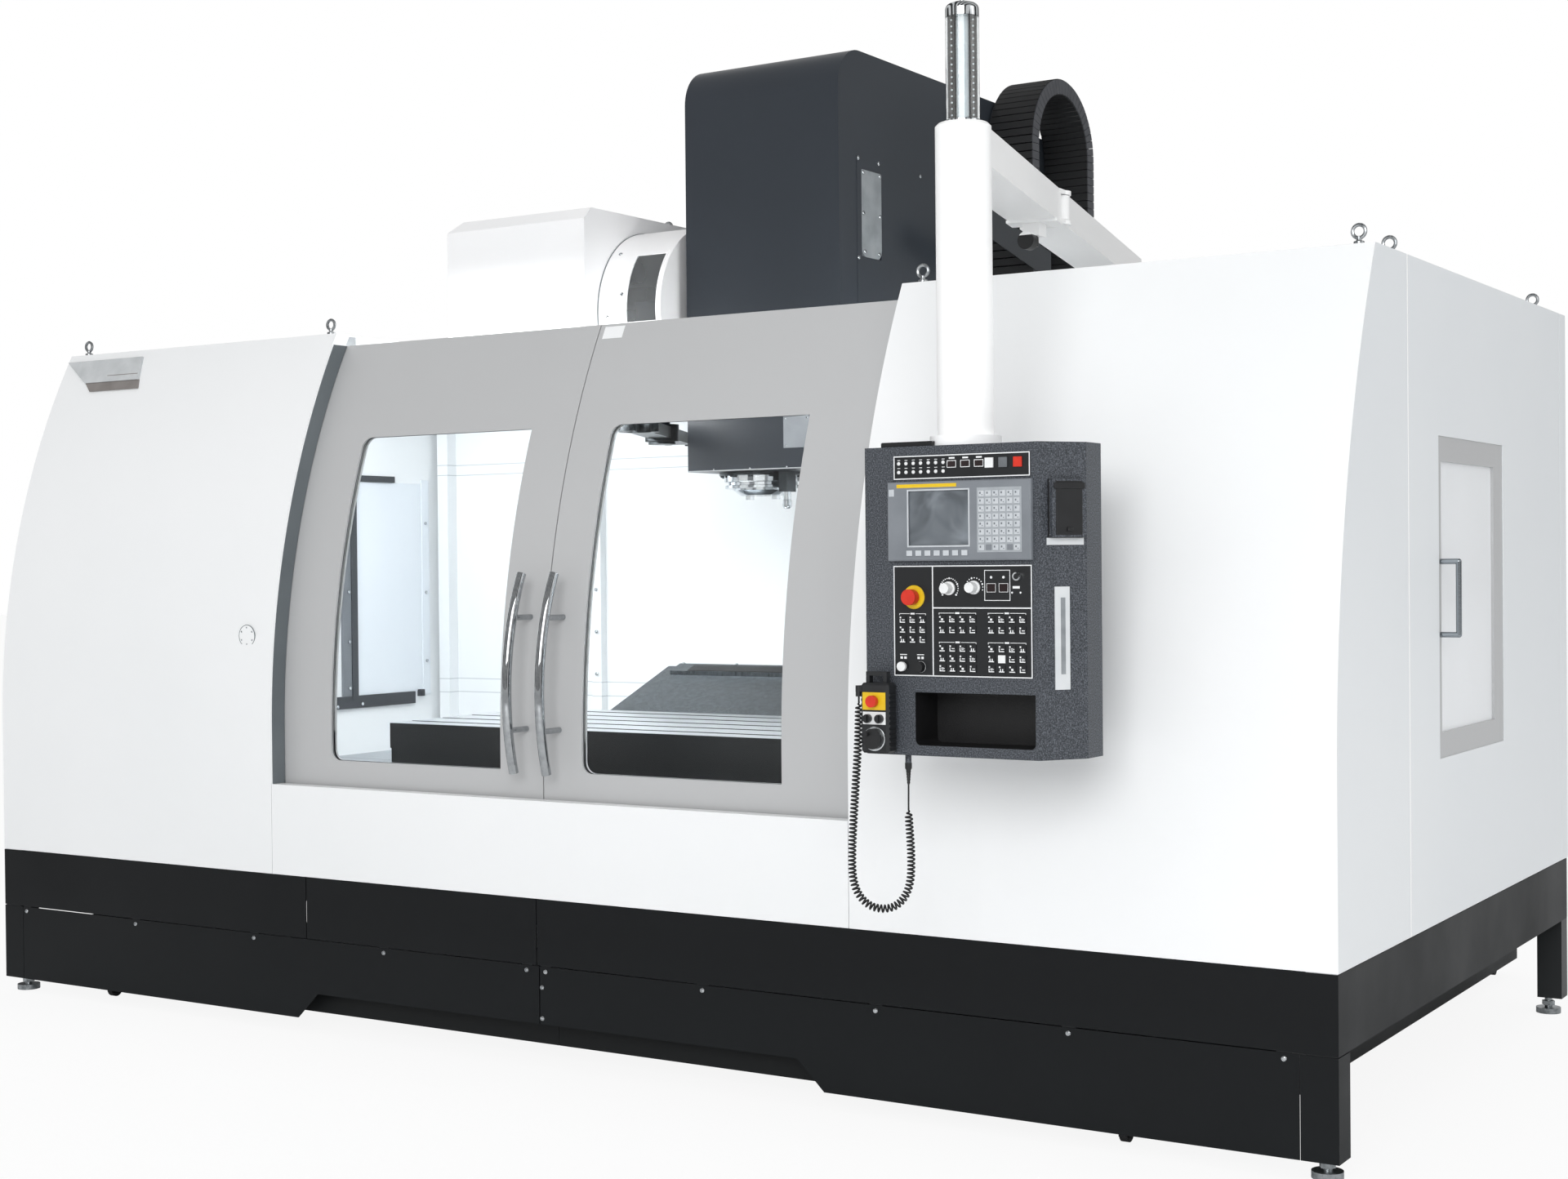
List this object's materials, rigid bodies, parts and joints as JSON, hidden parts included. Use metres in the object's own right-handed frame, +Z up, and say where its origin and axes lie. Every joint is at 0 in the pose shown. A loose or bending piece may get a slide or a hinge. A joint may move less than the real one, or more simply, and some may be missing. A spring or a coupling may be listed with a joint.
{
  "type": "cnc machining center",
  "caption": "Enclosed vertical machining center: sliding front doors, table on a saddle, covered head, side tool magazine and a console on a swing arm.",
  "frame": {"origin": "on the floor, on the spindle's centre plane, in the plane of the front skirt", "axes": "+X to the operator's right along the front, +Y to the back, +Z up"},
  "size_m": [5.0567, 3.728, 3.3838],
  "materials": {
    "cast_paint": "painted light grey",
    "table_iron": "ground and oiled",
    "column_paint": "painted dark grey",
    "foot_steel": "zinc plated",
    "frame_paint": "satin dark grey",
    "skirt_paint": "fine texture, dark grey",
    "tank_paint": "satin white",
    "white_paint": "fine texture, white",
    "side_paint": "fine texture, white",
    "door_paint": "satin silver grey",
    "guard_steel": "satin light grey",
    "clear_pane": "clear laminated",
    "handle_steel": "brushed",
    "head_paint": "fine texture, dark grey",
    "spindle_steel": "ground",
    "chain_plastic": "matte black",
    "magazine_paint": "satin light grey",
    "disc_paint": "satin",
    "arm_paint": "satin light grey",
    "tower_lens": "clear",
    "console_paint": "fine texture, dark grey",
    "panel_plastic": "satin dark",
    "screen_plastic": "satin light grey",
    "red_plastic": "gloss red",
    "black_plastic": "satin black",
    "green_plastic": "gloss white",
    "pendant_plastic": "fine texture, dark grey",
    "cord_rubber": "matte black",
    "wheel_rubber": "hard rubber",
    "eye_steel": "zinc plated"
  },
  "bodies": {
    "machine": {"bed_casting": "cast_paint", "column_casting": "column_paint", "leveling_feet": "foot_steel", "enclosure_frame": "frame_paint", "skirt_panels": "skirt_paint", "coolant_tank": "tank_paint", "left_front_panel": "white_paint", "right_front_panel": "white_paint", "door_sill": "white_paint", "left_side_wall": "side_paint", "right_side_wall": "side_paint", "rear_wall": "side_paint", "roof_panels": "white_paint", "inner_guards": "guard_steel", "lifting_eyebolts": "eye_steel", "electrical_cabinet": "side_paint", "magazine_cabinet": "magazine_paint", "drum_cover": "disc_paint", "changer_gearbox": "head_paint", "cable_chain": "chain_plastic"},
    "left_door": {"left_door": "door_paint", "left_door_glass": "clear_pane", "left_door_handle": "handle_steel"},
    "right_door": {"right_door": "door_paint", "right_door_glass": "clear_pane", "right_door_handle": "handle_steel"},
    "side_door": {"side_door": "head_paint", "side_door_glass": "clear_pane"},
    "saddle": {"saddle": "cast_paint", "way_cover": "guard_steel"},
    "middle_cover": {"middle_way_cover": "guard_steel"},
    "table": {"worktable": "table_iron"},
    "head": {"head_casting": "cast_paint", "head_cover": "head_paint", "spindle_housing": "spindle_steel"},
    "spindle": {"spindle_rotor": "spindle_steel"},
    "tool_disc": {"tool_disc": "disc_paint"},
    "changer_shaft": {"changer_shaft": "spindle_steel"},
    "changer_arm": {"changer_arm": "spindle_steel"},
    "rear_arm": {"rear_arm": "arm_paint"},
    "front_arm": {"front_arm": "arm_paint", "signal_tower": "tower_lens"},
    "console": {"control_box": "console_paint", "screen_unit": "screen_plastic", "operator_panel": "panel_plastic", "pendant_body": "pendant_plastic", "pendant_cord": "cord_rubber"},
    "estop_button": {"estop_button": "red_plastic"},
    "feed_knob": {"feed_knob": "black_plastic"},
    "speed_knob": {"speed_knob": "black_plastic"},
    "start_button": {"start_button": "green_plastic"},
    "stop_button": {"stop_button": "black_plastic"},
    "pendant_estop": {"pendant_estop": "red_plastic"},
    "axis_selector": {"axis_selector": "black_plastic"},
    "step_selector": {"step_selector": "black_plastic"},
    "handwheel": {"handwheel": "black_plastic"},
    "caster_wheel_1": {"caster_wheel_1": "wheel_rubber"},
    "caster_wheel_2": {"caster_wheel_2": "wheel_rubber"},
    "caster_wheel_3": {"caster_wheel_3": "wheel_rubber"},
    "caster_wheel_4": {"caster_wheel_4": "wheel_rubber"}
  },
  "joints": [
    {"name": "left_door_slide", "type": "slide", "parent": "machine", "child": "left_door", "axis": [-1, 0, 0], "range_m": [0, 1]},
    {"name": "right_door_slide", "type": "slide", "parent": "machine", "child": "right_door", "axis": [1, 0, 0], "range_m": [0, 1]},
    {"name": "side_door_slide", "type": "slide", "parent": "machine", "child": "side_door", "axis": [0, 1, 0], "range_m": [0, 0.56]},
    {"name": "saddle_y", "type": "slide", "parent": "machine", "child": "saddle", "axis": [0, 1, 0], "range_m": [0, 0.6]},
    {"name": "middle_cover_slide", "type": "slide", "parent": "machine", "child": "middle_cover", "axis": [0, 1, 0], "range_m": [0, 0.3]},
    {"name": "table_x", "type": "slide", "parent": "saddle", "child": "table", "axis": [1, 0, 0], "range_m": [-0.9, 0.9]},
    {"name": "head_z", "type": "slide", "parent": "machine", "child": "head", "axis": [0, 0, 1], "range_m": [-0.635, 0.265], "deforming": ["cable_chain"]},
    {"name": "spindle_spin", "type": "hinge", "parent": "head", "child": "spindle", "pos_m": [0, 1.295, 1.8], "axis": [0, 0, 1], "continuous": true},
    {"name": "disc_spin", "type": "hinge", "parent": "machine", "child": "tool_disc", "pos_m": [-0.9, 1.295, 2.435], "axis": [1, 0, 0], "continuous": true},
    {"name": "changer_plunge", "type": "slide", "parent": "machine", "child": "changer_shaft", "axis": [0, 0, 1], "range_m": [-0.15, 0]},
    {"name": "changer_swing", "type": "hinge", "parent": "changer_shaft", "child": "changer_arm", "pos_m": [-0.438, 1.295, 2], "axis": [0, 0, 1], "range_deg": [-45, 12]},
    {"name": "arm_base_swing", "type": "hinge", "parent": "machine", "child": "rear_arm", "pos_m": [1.031, 2.072, 2.5], "axis": [0, 0, 1], "range_deg": [-22, 2]},
    {"name": "arm_elbow", "type": "hinge", "parent": "rear_arm", "child": "front_arm", "pos_m": [1.452, 0.683, 2.58], "axis": [0, 0, 1], "range_deg": [-3, 3]},
    {"name": "console_swivel", "type": "hinge", "parent": "front_arm", "child": "console", "pos_m": [1.644, -0.3, 1.85], "axis": [0, 0, 1], "range_deg": [-20, 15]},
    {"name": "estop_press", "type": "slide", "parent": "console", "child": "estop_button", "axis": [0, 1, 0], "range_m": [0, 0.004]},
    {"name": "feed_turn", "type": "hinge", "parent": "console", "child": "feed_knob", "pos_m": [1.648, -0.41, 1.474], "axis": [0, 1, 0], "range_deg": [-140, 140]},
    {"name": "speed_turn", "type": "hinge", "parent": "console", "child": "speed_knob", "pos_m": [1.718, -0.41, 1.476], "axis": [0, 1, 0], "range_deg": [-105, 105]},
    {"name": "start_press", "type": "slide", "parent": "console", "child": "start_button", "axis": [0, 1, 0], "range_m": [0, 0.003], "stiffness_N_per_m": 400},
    {"name": "stop_press", "type": "slide", "parent": "console", "child": "stop_button", "axis": [0, 1, 0], "range_m": [0, 0.003], "stiffness_N_per_m": 400},
    {"name": "pendant_estop_press", "type": "slide", "parent": "console", "child": "pendant_estop", "axis": [0, 1, 0], "range_m": [0, 0.004]},
    {"name": "axis_select", "type": "hinge", "parent": "console", "child": "axis_selector", "pos_m": [1.44, -0.455, 1.146], "axis": [0, 1, 0], "range_deg": [-75, 75]},
    {"name": "step_select", "type": "hinge", "parent": "console", "child": "step_selector", "pos_m": [1.474, -0.455, 1.146], "axis": [0, 1, 0], "range_deg": [-45, 45]},
    {"name": "handwheel_turn", "type": "hinge", "parent": "console", "child": "handwheel", "pos_m": [1.457, -0.46, 1.095], "axis": [0, 1, 0], "continuous": true},
    {"name": "caster_spin_1", "type": "hinge", "parent": "machine", "child": "caster_wheel_1", "pos_m": [-2.053, 0.12, 0.025], "axis": [1, 0, 0], "continuous": true},
    {"name": "caster_spin_2", "type": "hinge", "parent": "machine", "child": "caster_wheel_2", "pos_m": [1.886, 0.12, 0.025], "axis": [1, 0, 0], "continuous": true},
    {"name": "caster_spin_3", "type": "hinge", "parent": "machine", "child": "caster_wheel_3", "pos_m": [2.116, 2.937, 0.025], "axis": [1, 0, 0], "continuous": true},
    {"name": "caster_spin_4", "type": "hinge", "parent": "machine", "child": "caster_wheel_4", "pos_m": [1.12, 2.937, 0.025], "axis": [1, 0, 0], "continuous": true}
  ],
  "couplings": [
    {"joint": "middle_cover_slide", "follows": "saddle_y", "ratio": 0.5}
  ]
}
